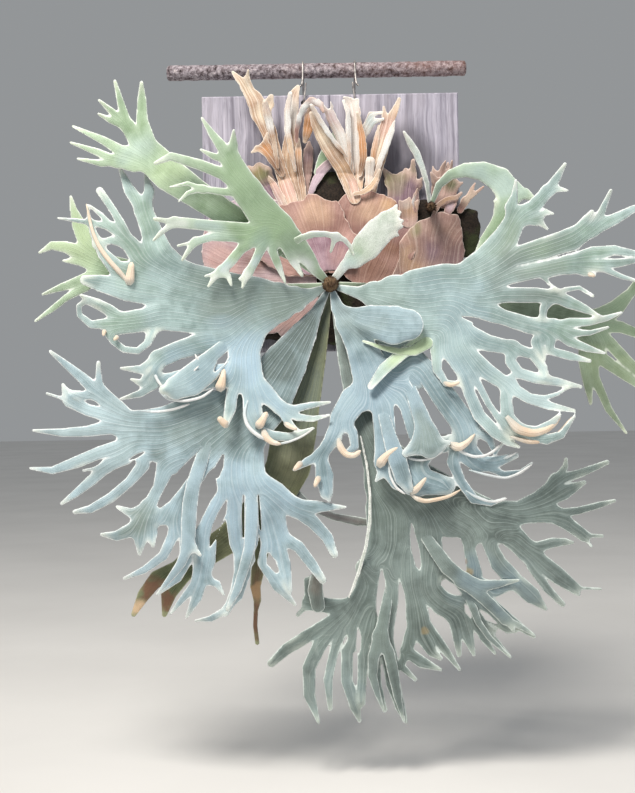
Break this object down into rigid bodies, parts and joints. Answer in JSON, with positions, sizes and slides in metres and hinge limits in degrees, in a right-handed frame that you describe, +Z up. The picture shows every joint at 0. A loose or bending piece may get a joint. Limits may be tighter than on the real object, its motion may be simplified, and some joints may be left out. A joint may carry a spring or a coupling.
{
  "type": "mounted staghorn fern",
  "caption": "Staghorn fern with forked silver-green fronds and dry shield leaves, grown on a weathered plank board that hangs from a rusty iron bar by two wires.",
  "frame": {"origin": "middle of the upper batten's back face, which lies against the wall", "axes": "+Y points back into the wall, +Z up, +X to the viewer's right"},
  "size_m": [0.6847, 0.2101, 0.7526],
  "materials": {
    "board": "weathered softwood, bare",
    "screw": "plain zinc",
    "bar": "rusted and pitted",
    "wire": "dull galvanised",
    "roots": "matted dark fibre and moss",
    "bud": "brown scaly fuzz",
    "shield": "dry papery shield leaf, pink-brown",
    "shield_dark": "dry papery shield leaf, dark brown",
    "dry_lobe": "dry papery lobe, tan",
    "dry_lobe_pale": "dry papery lobe, cream",
    "frond": "leathery, silver-green with fine white down",
    "frond_shaded": "leathery, grey-olive",
    "frond_young": "leathery, dense white down"
  },
  "bodies": {
    "root": {"plank_left": "board", "plank_right": "board", "batten_upper": "board", "batten_lower": "board", "screw_upper_1": "screw", "screw_upper_2": "screw", "screw_upper_3": "screw", "screw_upper_4": "screw", "screw_lower_1": "screw", "screw_lower_2": "screw", "screw_lower_3": "screw", "screw_lower_4": "screw", "hanging_bar": "bar", "wire_hanger_left": "wire", "wire_hanger_right": "wire", "root_ball": "roots", "crown": "bud", "side_bud": "bud", "shield_left": "shield", "shield_right_back": "shield_dark", "shield_front": "shield", "shield_right": "shield_dark", "shield_young": "shield", "dry_lobe_left": "dry_lobe", "dry_lobe_brown": "dry_lobe", "dry_lobe_arched": "dry_lobe", "dry_lobe_cream": "dry_lobe_pale", "dry_lobe_right": "dry_lobe", "shield_lobe_jagged": "dry_lobe", "shield_lobe_far_right": "dry_lobe", "dead_strip": "dry_lobe", "frond_upper_left_front": "frond", "frond_upper_left_back": "frond", "frond_left": "frond", "frond_left_back": "frond_shaded", "frond_lower_left": "frond", "frond_lower_back": "frond_shaded", "frond_lower_right": "frond", "frond_bottom": "frond", "frond_right": "frond", "frond_right_back": "frond_shaded", "frond_arching": "frond", "young_frond_thin": "frond_young", "young_frond_broad": "frond_young"}
  },
  "joints": []
}
